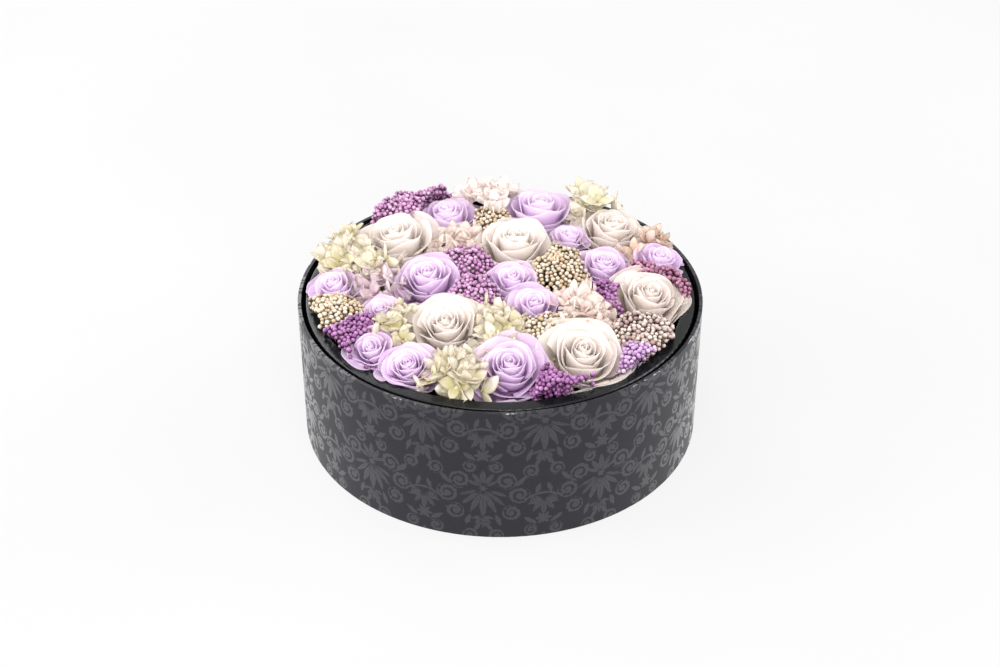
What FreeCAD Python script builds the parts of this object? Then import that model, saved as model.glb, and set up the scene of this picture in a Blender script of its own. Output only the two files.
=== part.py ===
"""A round flower box: a paper-covered drum, a lift-out planting tray and the preserved flowers wired into its foam.

Millimetres, +Z up, origin at the centre of the underside. The drum is the fixed body, and the tray lifts straight up.
"""

import FreeCAD
import Part
import math
import os

import Sketcher

Vector = FreeCAD.Vector
Rotation = FreeCAD.Rotation
Placement = FreeCAD.Placement
UP = Vector(0, 0, 1)
GOLDEN_ANGLE = 180 * (3 - math.sqrt(5))

doc = FreeCAD.newDocument("flower_box")
sheet = doc.addObject("Spreadsheet::Sheet", "Sizes")

DRIVING_SIZES = {
    # drum
    "box_diameter": 240,
    "box_height": 88,
    "wall_board": 1.5,
    "base_board": 2,
    "paper": 0.25,
    "turn_in": 18,
    "turn_under": 12,
    "base_cover_inset": 4,
    # planting tray
    "tray_gap": 2.6,
    "rim_drop": 0.5,
    "tray_board": 1.5,
    "collar_board": 2,
    "collar_width": 7.4,
    "collar_edge_round": 0.8,
    "foam_drop": 24,
    "foam_clearance": 1,
    "foam_chamfer": 3,
    "anchor_circle": 120,
    "anchor_diameter": 30,
    "anchor_board": 1.2,
    "anchor_prong": 2.4,
    "anchor_prong_tip": 1,
    "anchor_prong_length": 18,
    "anchor_prong_circle": 18,
    "pad_diameter": 26,
    "pad_board": 0.8,
    # stems
    "rose_wire": 1.2,
    "filler_wire": 0.8,
    "wire_depth": 26,
    "foam_fit": 0.15,
    # crown of flowers
    "crown_edge_rise": 4,
    "crown_middle_rise": 9,
    "crown_tilt": 12,
    "planting_margin": 5.4,
    "head_clearance": 0.4,
    # rose heads
    "cream_large": 46,
    "cream_medium": 40,
    "lilac_widest": 44,
    "lilac_large": 38,
    "lilac_medium": 30,
    "lilac_spray": 26,
    "lilac_bud": 21,
    "petal_thickness": 0.6,
    "petal_width": 3.2,
    "calyx": 6,
    # rice flower and hydrangea
    "filler_rise": 5,
    "filler_depth": 15,
    "filler_foot": 4,
    "bead_diameter": 4,
    "bead_spacing": 4.5,
    "floret_diameter": 13,
    "floret_spacing": 9.5,
    "sepal_thickness": 0.7,
}
for row, (alias, number) in enumerate(DRIVING_SIZES.items(), start=1):
    sheet.set(f"A{row}", alias)
    sheet.set(f"B{row}", str(number))
    sheet.setAlias(f"B{row}", alias)
doc.recompute()


class Size:
    """A length that knows both its number and the expression over the sheet that gives it."""

    def __init__(self, text, value):
        self.text = text
        self.value = float(value)

    def join(self, sign, other, value):
        return Size(f"({self.text} {sign} {other.text})", value)

    def __add__(self, other):
        other = sized(other)
        return self.join("+", other, self.value + other.value)

    def __sub__(self, other):
        other = sized(other)
        return self.join("-", other, self.value - other.value)

    def __mul__(self, other):
        other = sized(other)
        return self.join("*", other, self.value * other.value)

    def __truediv__(self, other):
        other = sized(other)
        return self.join("/", other, self.value / other.value)


def sized(number):
    """A plain number as a Size, and a Size as it is."""
    return number if isinstance(number, Size) else Size(str(number), number)


def size(alias):
    """The driving size of that name."""
    return Size(f"Sizes.{alias}", sheet.get(alias))


paper = size("paper")
outer_radius = size("box_diameter") / 2
board_outer = outer_radius - paper
board_inner = board_outer - size("wall_board")
lined_radius = board_inner - paper
board_bottom = paper * 2
floor_top = board_bottom + size("base_board")
lined_floor = floor_top + paper
rim = size("box_height")
board_top = rim - paper

tray_outer = lined_radius - size("tray_gap")
tray_inner = tray_outer - size("tray_board")
tray_bottom = lined_floor
tray_floor_top = tray_bottom + size("tray_board")
collar_top = rim - size("rim_drop")
collar_bottom = collar_top - size("collar_board")
opening_radius = tray_outer - size("collar_width")
anchor_bottom = tray_floor_top + size("pad_board")
foam_bottom = anchor_bottom + size("anchor_board")
foam_top = rim - size("foam_drop")
foam_radius = tray_inner - size("foam_clearance")

subparts = []


def keep(feature, label):
    """Names a finished sub-part and puts it on the list to be written out."""
    feature.Label = label
    subparts.append(feature)
    return feature


# Sketched pieces of board and paper

def new_body(label):
    return keep(doc.addObject("PartDesign::Body", label), label)


def new_sketch(body, role, name):
    """A sketch on one of the body's own origin planes."""
    sketch = body.newObject("Sketcher::SketchObject", name)
    plane = next(f for f in body.Origin.OriginFeatures if f.Role == role)
    sketch.AttachmentSupport = (plane, "")
    sketch.MapMode = "FlatFace"
    return sketch


def set_constraint(sketch, constraint, name, length):
    index = sketch.addConstraint(constraint)
    sketch.renameConstraint(index, name)
    sketch.setExpression(f"Constraints.{name}", length.text)


def add_circle(sketch, name, radius):
    circle = sketch.addGeometry(Part.Circle(Vector(0, 0, 0), UP, radius.value))
    sketch.addConstraint(Sketcher.Constraint("Coincident", circle, 3, -1, 1))
    set_constraint(sketch, Sketcher.Constraint("Radius", circle, radius.value), name, radius)


def flat_piece(label, radius, bottom, thickness, hole=None):
    """A disc, or a ring where it has a hole, padded up from a height."""
    body = new_body(label)
    sketch = new_sketch(body, "XY_Plane", f"{label}_outline")
    sketch.setExpression("AttachmentOffset.Base.z", bottom.text)
    add_circle(sketch, "outer", radius)
    if hole is not None:
        add_circle(sketch, "hole", hole)
    pad = body.newObject("PartDesign::Pad", f"{label}_pad")
    pad.Profile = sketch
    pad.setExpression("Length", thickness.text)
    sketch.Visibility = False
    return body


def turned_piece(label, corners):
    """A ring turned about the box's axis from a closed outline of (radius, height) corners."""
    body = new_body(label)
    sketch = new_sketch(body, "XZ_Plane", f"{label}_section")
    points = [Vector(x.value, z.value, 0) for x, z in corners]
    count = len(points)
    for i, point in enumerate(points):
        sketch.addGeometry(Part.LineSegment(point, points[(i + 1) % count]))
    for i in range(count):
        sketch.addConstraint(Sketcher.Constraint("Coincident", i, 2, (i + 1) % count, 1))
    for i, (x, z) in enumerate(corners):
        across = Sketcher.Constraint("DistanceX", -1, 1, i, 1, x.value)
        set_constraint(sketch, across, f"radius_{i}", x)
        up = Sketcher.Constraint("DistanceY", -1, 1, i, 1, z.value)
        set_constraint(sketch, up, f"height_{i}", z)
    turn = body.newObject("PartDesign::Revolution", f"{label}_turn")
    turn.Profile = sketch
    turn.ReferenceAxis = (sketch, ["V_Axis"])
    turn.Angle = 360
    return body


def round_edges(body, name, radius, chosen):
    """Rounds the chosen circular edges of a body."""
    doc.recompute()
    base = body.Tip
    names = [f"Edge{i}" for i, edge in enumerate(base.Shape.Edges, start=1) if chosen(edge)]
    fillet = body.newObject("PartDesign::Fillet", name)
    fillet.Base = (base, names)
    fillet.setExpression("Radius", radius.text)


# Drum: a tube and a base of greyboard, wrapped outside and lined inside with paper

flat_piece("box_wall", board_outer, board_bottom, board_top - board_bottom, hole=board_inner)
flat_piece("box_base", board_inner, board_bottom, size("base_board"))
turn_in_bottom = rim - size("turn_in")
turn_under_radius = outer_radius - size("turn_under")
turned_piece(
    "damask_wrap",
    [
        (turn_under_radius, paper),
        (outer_radius, paper),
        (outer_radius, rim),
        (lined_radius, rim),
        (lined_radius, turn_in_bottom),
        (board_inner, turn_in_bottom),
        (board_inner, board_top),
        (board_outer, board_top),
        (board_outer, board_bottom),
        (turn_under_radius, board_bottom),
    ],
)
flat_piece("base_cover", outer_radius - size("base_cover_inset"), paper * 0, paper)
flat_piece("wall_lining", board_inner, lined_floor, turn_in_bottom - lined_floor, hole=lined_radius)
flat_piece("floor_lining", board_inner, floor_top, paper)

# Planting tray: a board drum with a flat collar round its mouth, lifted out by the collar

flat_piece("tray_wall", tray_outer, tray_bottom, collar_bottom - tray_bottom, hole=tray_inner)
flat_piece("tray_floor", tray_inner, tray_bottom, size("tray_board"))
collar = flat_piece("tray_collar", tray_outer, collar_bottom, size("collar_board"), hole=opening_radius)


def on_collar_top(edge):
    return abs(edge.BoundBox.ZMax - collar_top.value) < 1e-6 and edge.BoundBox.ZLength < 1e-6


round_edges(collar, "collar_edge", size("collar_edge_round"), on_collar_top)

# Planting plan: where each head stands in the crown, drawn on a planting circle of this radius

PLAN_RADIUS = 110
ROSES = [
    # name, sort, place across, place back
    ("cream_rose_1", "cream_large", -63, 46),
    ("cream_rose_2", "cream_large", 9, 41),
    ("cream_rose_3", "cream_medium", 70, 62),
    ("cream_rose_4", "cream_medium", 87, -11),
    ("cream_rose_5", "cream_medium", -31, -47),
    ("cream_rose_6", "cream_large", 48, -72),
    ("lilac_rose_1", "lilac_large", -33, 77),
    ("lilac_rose_2", "lilac_widest", 27, 82),
    ("lilac_rose_3", "lilac_large", -43, 2),
    ("lilac_rose_4", "lilac_large", 6, -85),
    ("lilac_rose_5", "lilac_medium", 62, 20),
    ("lilac_rose_6", "lilac_medium", -50, -83),
    ("lilac_rose_7", "lilac_spray", -75, -66),
    ("lilac_rose_8", "lilac_bud", -70, -28),
    ("lilac_rose_9", "lilac_medium", -99, -3),
    ("lilac_rose_10", "lilac_bud", 42, 49),
    ("lilac_rose_11", "lilac_medium", 7, 0),
    ("lilac_rose_12", "lilac_medium", 21, -25),
    ("lilac_rose_13", "lilac_medium", 99, 29),
]
FILLERS = [
    # name, spread, place across, place back, rise above the crown
    ("rice_flower_1", 17, -55, 84, 7),
    ("rice_flower_2", 14, -7, 72, 0),
    ("rice_flower_3", 17, -19.5, 21.5, 0),
    ("rice_flower_4", 19, -16, -10, 0),
    ("rice_flower_5", 20, 36, 14, 0),
    ("rice_flower_6", 16, 65, -13, 0),
    ("rice_flower_7", 15, 92, 11, 0),
    ("rice_flower_8", 18, 27, -45, 0),
    ("rice_flower_9", 18, 82, -45, 0),
    ("rice_flower_10", 12, 75, -69, 0),
    ("rice_flower_11", 15, 33, -96, 0),
    ("rice_flower_12", 16, -94, -24, 0),
    ("rice_flower_13", 16, -84, -53, 0),
    ("hydrangea_1", 22, -90, 30, 3),
    ("hydrangea_2", 21, -28, 48, 0),
    ("hydrangea_3", 20, -7, 93, 8),
    ("hydrangea_4", 17, 58, 86, 6),
    ("hydrangea_5", 15, 85, 46, 2),
    ("hydrangea_6", 20, 46, -23, 0),
    ("hydrangea_7", 17, -72, 8, 0),
    ("hydrangea_8", 20, -58, -42, 0),
    ("hydrangea_9", 20, 2, -47, 0),
    ("hydrangea_10", 20, -24, -91, 0),
]

clearance = size("head_clearance").value
planting_radius = (tray_outer - size("planting_margin")).value
plan_scale = planting_radius / PLAN_RADIUS
bead_radius = size("bead_diameter").value / 2
cap_bottom = collar_top.value + 2 * clearance
filler_bottom = cap_bottom - size("filler_depth").value


class Head:
    """One flower head of the crown: its name, its place and the sphere it fills."""

    def __init__(self, name, radius, x, y):
        self.name = name
        self.radius = radius
        self.x = x * plan_scale
        self.y = y * plan_scale
        self.top = 0
        self.fringe = 0

    def reach(self):
        return math.hypot(self.x, self.y)

    def height(self):
        """The crown is a shallow dome, highest in the middle."""
        edge = rim.value + size("crown_edge_rise").value
        middle = rim.value + size("crown_middle_rise").value
        return middle - (middle - edge) * min(1, self.reach() / planting_radius) ** 2

    def placement(self):
        """A rose leans outwards, more so towards the edge."""
        lean = size("crown_tilt").value * min(1, self.reach() / planting_radius)
        turn = Rotation(Vector(-self.y, self.x, 0), lean) if self.reach() > 0 else Rotation()
        return Placement(Vector(self.x, self.y, self.height()), turn)


def settle(heads, edge):
    """Moves crowded heads apart, and back inside the edge, until none of them touch."""
    rounds = 400
    for _ in range(rounds):
        moved = False
        for i, one in enumerate(heads):
            for other in heads[i + 1:]:
                across = other.x - one.x
                back = other.y - one.y
                distance = math.hypot(across, back)
                short = one.radius + other.radius + 2 * clearance - distance
                if short > 0:
                    step = 0.51 * short / distance
                    one.x -= across * step
                    one.y -= back * step
                    other.x += across * step
                    other.y += back * step
                    moved = True
            outside = one.reach() + one.radius - edge
            if outside > 0:
                pull = 1 - outside / one.reach()
                one.x *= pull
                one.y *= pull
                moved = True
        if not moved:
            break


def solid_of(shape):
    """The largest solid of a shape, so that trimmed crumbs are left out."""
    return max(shape.Solids, key=lambda solid: solid.Volume)


def in_polar(radius, angle):
    """A point of the X-Z plane, from its angle off the Z axis in degrees."""
    return Vector(radius * math.sin(math.radians(angle)), 0, radius * math.cos(math.radians(angle)))


def bowl(radius, thickness, half_angle):
    """A round cupped petal: part of a spherical shell about the origin, opening towards -Z."""
    inside = radius - thickness
    edges = [
        Part.Arc(in_polar(radius, 0), in_polar(radius, half_angle / 2), in_polar(radius, half_angle)).toShape(),
        Part.makeLine(in_polar(radius, half_angle), in_polar(inside, half_angle)),
        Part.Arc(in_polar(inside, half_angle), in_polar(inside, half_angle / 2), in_polar(inside, 0)).toShape(),
        Part.makeLine(in_polar(inside, 0), in_polar(radius, 0)),
    ]
    return Part.Face(Part.Wire(edges)).revolve(Vector(), UP, 360)


def rose_head(diameter):
    """A rose about the origin, facing +Z: a bud, nested cupped petals in a spiral, and the calyx under them."""
    radius = diameter / 2
    bud_share = 0.26
    inner_share = 0.34
    inner_rim = 28
    outer_rim = 72
    crowding = 0.7
    petal_root = 158
    calyx_angle = 28
    petal_count = round(diameter / size("petal_width").value)
    parts = [Part.makeSphere(bud_share * radius)]
    for i in range(petal_count):
        outward = i / (petal_count - 1)
        rim_angle = inner_rim + (outer_rim - inner_rim) * outward
        petal_radius = radius * (inner_share + (1 - inner_share) * outward ** crowding)
        petal = bowl(petal_radius, size("petal_thickness").value, (petal_root - rim_angle) / 2)
        petal.rotate(Vector(), Vector(0, 1, 0), (petal_root + rim_angle) / 2)
        petal.rotate(Vector(), UP, GOLDEN_ANGLE * i)
        parts.append(petal)
    cone_depth = 0.94 * radius
    cone_radius = cone_depth * math.tan(math.radians(calyx_angle))
    receptacle = Part.makeCone(cone_radius, 0, cone_depth, Vector(0, 0, -cone_depth))
    calyx = Part.makeCylinder(size("calyx").value / 2, radius / 2, Vector(0, 0, -radius))
    return receptacle.multiFuse(parts + [calyx]).removeSplitter()


rose_heads = [Head(name, size(sort).value / 2, x, y) for name, sort, x, y in ROSES]
rose_sorts = {name: sort for name, sort, _, _ in ROSES}
filler_heads = [Head(name, spread, x, y) for name, spread, x, y, _ in FILLERS]
extra_rise = {name: rise for name, _, _, _, rise in FILLERS}
head_edge = tray_outer.value - 2 * clearance
settle(rose_heads, head_edge)

collar_guard = collar_top.value + clearance
collar_zone = Part.makeCylinder(tray_outer.value + 10, collar_guard).cut(
    Part.makeCylinder(opening_radius.value - clearance, collar_guard)
)


def clear_of_collar(shape, place):
    """Trims a head, given in its own frame, where it would run into the tray's collar."""
    zone = collar_zone.copy()
    zone.Placement = place.inverse().multiply(zone.Placement)
    return solid_of(shape.cut(zone))


templates = {sort: rose_head(size(sort).value) for sort in sorted(set(rose_sorts.values()))}
for head in rose_heads:
    shape = templates[rose_sorts[head.name]]
    if head.reach() + head.radius > opening_radius.value - clearance:
        shape = clear_of_collar(shape, head.placement())
    feature = keep(doc.addObject("Part::Feature", head.name), head.name)
    feature.Shape = solid_of(shape)
    feature.Placement = head.placement()


# Rice flower and hydrangea: domed cushions that fill the spaces between the roses

def dome_of(spread, top, grow=0):
    """The centre height, radius and angle of a cushion's dome, from its spread and its top."""
    spread = spread + grow
    shoulder = cap_bottom - grow
    rise = top + grow - shoulder
    radius = (spread ** 2 + rise ** 2) / (2 * rise)
    centre = top + grow - radius
    return centre, radius, math.degrees(math.atan2(spread, shoulder - centre))


def cushion(spread, top, grow=0):
    """A domed head on a tapering underside, about the Z axis, grown or shrunk on every side."""
    centre, radius, angle = dome_of(spread, top, grow)
    lift = Vector(0, 0, centre)
    foot = size("filler_foot").value / 2
    corners = [Vector(0, 0, filler_bottom), Vector(foot, 0, filler_bottom)]
    shoulder = in_polar(radius, angle) + lift
    peak = in_polar(radius, 0) + lift
    edges = [
        Part.makeLine(corners[0], corners[1]),
        Part.makeLine(corners[1], shoulder),
        Part.Arc(shoulder, in_polar(radius, angle / 2) + lift, peak).toShape(),
        Part.makeLine(peak, corners[0]),
    ]
    return Part.Face(Part.Wire(edges)).revolve(Vector(), UP, 360)


def spread_over(dome, spacing):
    """Points spread evenly over a dome in a spiral, as the turn that stands each one on it."""
    centre, radius, angle = dome
    cap_share = 1 - math.cos(math.radians(angle))
    close_packing = math.sqrt(3) / 2
    count = int(2 * math.pi * radius ** 2 * cap_share / (spacing ** 2 * close_packing))
    for i in range(count):
        polar = math.acos(1 - cap_share * (i + 0.5) / count)
        turn = Rotation(UP, GOLDEN_ANGLE * i) * Rotation(Vector(0, 1, 0), math.degrees(polar))
        yield Placement(Vector(0, 0, centre) + turn.multVec(Vector(0, 0, radius)), turn)


def keeps_clear(point, balls, margin):
    """Whether a point keeps that far from every ball of a list of (centre, radius)."""
    return all(point.distanceToPoint(centre) >= radius + margin for centre, radius in balls)


def bead_pieces(head, balls):
    """The beads of a rice-flower head that have room, half sunk in its cushion."""
    dome = dome_of(head.radius, head.top, -bead_radius)
    spots = [spot.Base for spot in spread_over(dome, size("bead_spacing").value)]
    return [Part.makeSphere(bead_radius, spot) for spot in spots if keeps_clear(spot, balls, bead_radius + clearance)]


def sepal_at(spot, bearing):
    """One round hydrangea sepal standing beside the eye of a floret, and the middle of it."""
    thickness = size("sepal_thickness").value
    sepal = Part.makeCylinder(sepal_radius, thickness, Vector(0, 0, -thickness / 2))
    turn = Rotation(UP, bearing) * Rotation(Vector(0, 1, 0), -sepal_tilt)
    stand = Rotation(UP, bearing).multVec(Vector(sepal_offset, 0, 0))
    sepal.Placement = spot.multiply(Placement(stand, turn))
    return sepal, sepal.Placement.Base


def floret_pieces(head, balls):
    """The florets of a hydrangea head: up to four sepals round an eye, leaving out each sepal that has no room."""
    pieces = []
    taken = []
    for spot in spread_over(dome_of(head.radius, head.top, floret_sink), size("floret_spacing").value):
        if not keeps_clear(spot.Base, balls + taken, eye_radius + clearance):
            continue
        sepals = []
        for i in range(4):
            sepal, middle = sepal_at(spot, 90 * i)
            above_collar = middle.z - sepal_radius > collar_guard
            if above_collar and keeps_clear(middle, balls + taken, sepal_radius + clearance):
                sepals.append((sepal, middle))
        if not sepals:
            continue
        eye = Part.makeCylinder(eye_radius, eye_height, Vector(0, 0, -eye_height / 2))
        stalk = Part.makeCylinder(stalk_radius, stalk_length, Vector(0, 0, -stalk_length))
        for piece in (eye, stalk):
            piece.Placement = spot
        pieces += [eye, stalk] + [sepal for sepal, _ in sepals]
        taken.append((spot.Base, eye_radius))
        taken += [(middle, sepal_radius) for _, middle in sepals]
    return pieces


sepal_offset = 0.3 * size("floret_diameter").value
sepal_radius = 0.2 * size("floret_diameter").value
sepal_tilt = 14
eye_radius = 0.5 * sepal_offset
eye_height = 2.4
stalk_radius = 0.7
stalk_length = 5
floret_sink = -1.5
core_sink = -4
finished_fillers = []
for head in filler_heads:
    beaded = head.name.startswith("rice")
    head.top = head.height() + size("filler_rise").value + extra_rise[head.name]
    place = Placement(Vector(head.x, head.y, 0), Rotation())
    balls = []
    guards = []
    for rose in rose_heads:
        centre = Vector(rose.x - head.x, rose.y - head.y, rose.height())
        if math.hypot(centre.x, centre.y) < rose.radius + 2 * head.radius:
            balls.append((centre, rose.radius))
            guards.append(Part.makeSphere(rose.radius + clearance, centre))
    for other in finished_fillers:
        offset = Vector(other.x - head.x, other.y - head.y, 0)
        if math.hypot(offset.x, offset.y) < 2 * (other.radius + head.radius):
            centre, radius, _ = dome_of(other.radius, other.top, other.fringe)
            balls.append((offset + Vector(0, 0, centre), radius))
            guard = cushion(other.radius, other.top, other.fringe + clearance)
            guard.translate(offset)
            guards.append(guard)
    if beaded:
        core = clear_of_collar(solid_of(cushion(head.radius, head.top, -bead_radius).cut(guards)), place)
        shape = core.multiFuse(bead_pieces(head, balls))
    else:
        head.fringe = size("floret_diameter").value / 4
        core = clear_of_collar(solid_of(cushion(head.radius, head.top, core_sink).cut(guards)), place)
        shape = core.multiFuse(floret_pieces(head, balls))
    feature = keep(doc.addObject("Part::Feature", head.name), head.name)
    feature.Shape = solid_of(shape)
    feature.Placement = place
    finished_fillers.append(head)
doc.recompute()

# Foam block with its anchors, and the wire stems that carry the heads

def cylinder(name, radius, height, place):
    feature = doc.addObject("Part::Cylinder", name)
    feature.setExpression("Radius", radius.text)
    if isinstance(height, Size):
        feature.setExpression("Height", height.text)
    else:
        feature.Height = height
    feature.Placement = place
    return feature


def cone(name, bottom_radius, top_radius, height, place):
    feature = doc.addObject("Part::Cone", name)
    feature.setExpression("Radius1", bottom_radius.text)
    feature.setExpression("Radius2", top_radius.text)
    feature.setExpression("Height", height.text)
    feature.Placement = place
    return feature


def group(name, features):
    """Separate solids held together as one sub-part."""
    feature = doc.addObject("Part::Compound", name)
    feature.Links = features
    return feature


def at(x, y, z):
    return Placement(Vector(x, y, z), Rotation())


foam_fit = size("foam_fit")
anchor_count = 3
prong_count = 4
anchors = []
pads = []
foam_holes = []
for i in range(anchor_count):
    bearing = Rotation(UP, 360 * i / anchor_count)
    spot = bearing.multVec(Vector(size("anchor_circle").value / 2, 0, 0))
    pads.append(
        cylinder(f"pad_{i}", size("pad_diameter") / 2, size("pad_board"), at(spot.x, spot.y, tray_floor_top.value))
    )
    disc = cylinder(
        f"anchor_disc_{i}", size("anchor_diameter") / 2, size("anchor_board"), at(spot.x, spot.y, anchor_bottom.value)
    )
    prongs = []
    for j in range(prong_count):
        turn = Rotation(UP, 360 * j / prong_count)
        foot = spot + turn.multVec(Vector(size("anchor_prong_circle").value / 2, 0, 0))
        place = at(foot.x, foot.y, foam_bottom.value)
        root = size("anchor_prong") / 2
        tip = size("anchor_prong_tip") / 2
        length = size("anchor_prong_length")
        prongs.append(cone(f"prong_{i}_{j}", root, tip, length, place))
        foam_holes.append(cone(f"prong_hole_{i}_{j}", root + foam_fit, tip + foam_fit, length + foam_fit, place))
    anchor = doc.addObject("Part::MultiFuse", f"anchor_{i}")
    anchor.Shapes = [disc] + prongs
    anchors.append(anchor)
keep(group("anchor_pads", pads), "anchor_pads")
keep(group("foam_anchors", anchors), "foam_anchors")

wire_end = foam_top.value - size("wire_depth").value


def stem(name, wire, top, axis):
    """A wire from under a head down its axis into the foam, and the hole that it makes there."""
    length = (top.z - wire_end) / axis.z
    place = Placement(top - axis * length, Rotation(UP, axis))
    foam_holes.append(cylinder(f"{name}_hole", wire / 2 + foam_fit, length, place))
    return cylinder(f"{name}_wire", wire / 2, length, place)


rose_wires = []
for head in rose_heads:
    place = head.placement()
    calyx_end = place.multVec(Vector(0, 0, -head.radius))
    rose_wires.append(stem(head.name, size("rose_wire"), calyx_end, place.Rotation.multVec(UP)))
filler_wires = []
for head in filler_heads:
    foot = Vector(head.x, head.y, filler_bottom)
    filler_wires.append(stem(head.name, size("filler_wire"), foot, UP))
keep(group("rose_wires", rose_wires), "rose_wires")
keep(group("filler_wires", filler_wires), "filler_wires")

chamfer = size("foam_chamfer")
foam_side = foam_top - foam_bottom - chamfer
foam_block = doc.addObject("Part::MultiFuse", "foam_block")
foam_block.Shapes = [
    cylinder("foam_lower", foam_radius, foam_side, at(0, 0, foam_bottom.value)),
    cone("foam_edge", foam_radius, foam_radius - chamfer, chamfer, at(0, 0, foam_top.value - chamfer.value)),
]
foam = keep(doc.addObject("Part::Cut", "foam_disc"), "foam_disc")
foam.Base = foam_block
foam.Tool = group("foam_hole_group", foam_holes)
doc.recompute()

# Check and write out

for feature in doc.Objects:
    if "Invalid" in feature.State or "Error" in feature.State:
        raise RuntimeError(f"{feature.Label} did not build")
os.makedirs("parts", exist_ok=True)
for feature in subparts:
    if feature.Shape.isNull() or not feature.Shape.isValid():
        raise RuntimeError(f"{feature.Label} has no sound shape")
    feature.Shape.exportStep(f"parts/{feature.Label}.step")
print(f"{len(subparts)} sub-parts written")
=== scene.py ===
import math
import random

import bpy
import numpy as np
from mathutils import Matrix, Vector


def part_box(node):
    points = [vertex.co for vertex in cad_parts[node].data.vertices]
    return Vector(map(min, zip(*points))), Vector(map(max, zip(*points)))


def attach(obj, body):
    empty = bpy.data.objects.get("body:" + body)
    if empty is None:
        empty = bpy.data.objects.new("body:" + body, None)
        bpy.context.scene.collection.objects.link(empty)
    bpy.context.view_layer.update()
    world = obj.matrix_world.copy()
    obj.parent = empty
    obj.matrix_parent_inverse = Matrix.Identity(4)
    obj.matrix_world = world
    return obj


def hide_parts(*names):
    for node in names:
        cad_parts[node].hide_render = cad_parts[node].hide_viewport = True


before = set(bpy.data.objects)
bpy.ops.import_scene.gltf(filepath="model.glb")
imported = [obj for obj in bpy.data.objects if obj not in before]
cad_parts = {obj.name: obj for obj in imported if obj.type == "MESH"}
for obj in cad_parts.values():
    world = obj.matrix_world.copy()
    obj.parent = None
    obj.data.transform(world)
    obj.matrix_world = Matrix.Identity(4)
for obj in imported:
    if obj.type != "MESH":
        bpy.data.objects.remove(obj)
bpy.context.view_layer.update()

# Drum wall: greyboard rolled into a tube and wrapped in charcoal paper, which is glued over the rim and under
# the foot and meets in a seam at the back. The paper is matte, with a damask printed on it in a satin ink of
# nearly the same grey, so it shows by its shine. Along the rim's outer edge pale flecks are painted in:
# partly scuffed paper, partly a painted highlight where the edge catches the light.


def tint(red, green, blue):
    """A colour written as screen values, as the shader's linear colour."""
    linear = []
    for screen in (red, green, blue):
        linear.append(((screen / 255 + 0.055) / 1.055) ** 2.4 if screen > 10 else screen / 3295)
    return (*linear, 1.0)


class Amount:
    """A shader value that can be used in sums: each operator adds its Math node."""

    def __init__(self, finish, socket):
        self.finish = finish
        self.socket = socket

    def math(self, operation, *others):
        inputs = {0: self}
        for index, other in enumerate(others, start=1):
            inputs[index] = other
        return self.finish.node("ShaderNodeMath", {"operation": operation}, inputs)

    def __add__(self, other):
        return self.math("ADD", other)

    def __sub__(self, other):
        return self.math("SUBTRACT", other)

    def __rsub__(self, other):
        return self.finish.node("ShaderNodeMath", {"operation": "SUBTRACT"}, {0: other, 1: self})

    def __mul__(self, other):
        return self.math("MULTIPLY", other)

    def __truediv__(self, other):
        return self.math("DIVIDE", other)

    def __abs__(self):
        return self.math("ABSOLUTE")


class Finish:
    """A node material with one surface shader, and the ways to make and join its nodes."""

    def __init__(self, name):
        self.material = bpy.data.materials.new(name)
        self.material.use_nodes = True
        self.tree = self.material.node_tree
        self.surface = self.tree.nodes["Principled BSDF"]

    def node(self, kind, settings=None, inputs=None, output=0):
        made = self.tree.nodes.new(kind)
        for name, setting in (settings or {}).items():
            setattr(made, name, setting)
        for key, value in (inputs or {}).items():
            self.feed(made.inputs[key], value)
        return Amount(self, made.outputs[output])

    def feed(self, socket, value):
        if isinstance(value, Amount):
            self.tree.links.new(value.socket, socket)
        else:
            socket.default_value = value

    def wear(self, **values):
        """Sets sockets of the surface shader, named with _ for a space."""
        for name, value in values.items():
            self.feed(self.surface.inputs[name.replace("_", " ")], value)

    def place(self, output="Object"):
        """The point being shaded, in the object's own metres or on its UV map."""
        made = self.tree.nodes.new("ShaderNodeTexCoord")
        return Amount(self, made.outputs[output])

    def axes(self, place):
        made = self.tree.nodes.new("ShaderNodeSeparateXYZ")
        self.feed(made.inputs[0], place)
        return [Amount(self, output) for output in made.outputs]

    def stretch(self, place, scale):
        return self.node("ShaderNodeMapping", None, {"Vector": place, "Scale": scale})

    def noise(self, place, scale, detail=3.0, roughness=0.55):
        inputs = {"Vector": place, "Scale": scale, "Detail": detail, "Roughness": roughness}
        return self.node("ShaderNodeTexNoise", None, inputs)

    def ramp(self, value, *stops):
        """A colour for each value, through stops that are a place and a colour."""
        made = self.node("ShaderNodeValToRGB", None, {0: value})
        # A new ramp has two stops already
        elements = made.socket.node.color_ramp.elements
        for place, _ in stops[2:]:
            elements.new(place)
        for element, (place, colour) in zip(elements, sorted(stops)):
            element.position = place
            element.color = colour
        return made

    def mix(self, share, one, other):
        return self.node("ShaderNodeMix", {"data_type": "RGBA"}, {0: share, 6: one, 7: other}, output=2)

    def remap(self, value, low, high, to_low, to_high):
        inputs = {"Value": value, "From Min": low, "From Max": high, "To Min": to_low, "To Max": to_high}
        return self.node("ShaderNodeMapRange", None, inputs)

    def let_light_through(self, colour, share):
        """Lets part of the light through, for thin petals."""
        through = self.node("ShaderNodeBsdfTranslucent", None, {"Color": colour})
        solid = Amount(self, self.surface.outputs[0])
        both = self.node("ShaderNodeMixShader", None, {0: share, 1: solid, 2: through})
        self.feed(self.tree.nodes["Material Output"].inputs["Surface"], both)

    def bump(self, height, strength, distance):
        inputs = {"Height": height, "Strength": strength, "Distance": distance}
        self.wear(Normal=self.node("ShaderNodeBump", None, inputs))


def dress(node, finish):
    """Puts a finish on a CAD node that keeps its own shape."""
    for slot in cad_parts[node].material_slots:
        slot.material = finish.material


BOX_RADIUS = 0.120
RIM_HEIGHT = 0.088
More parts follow.
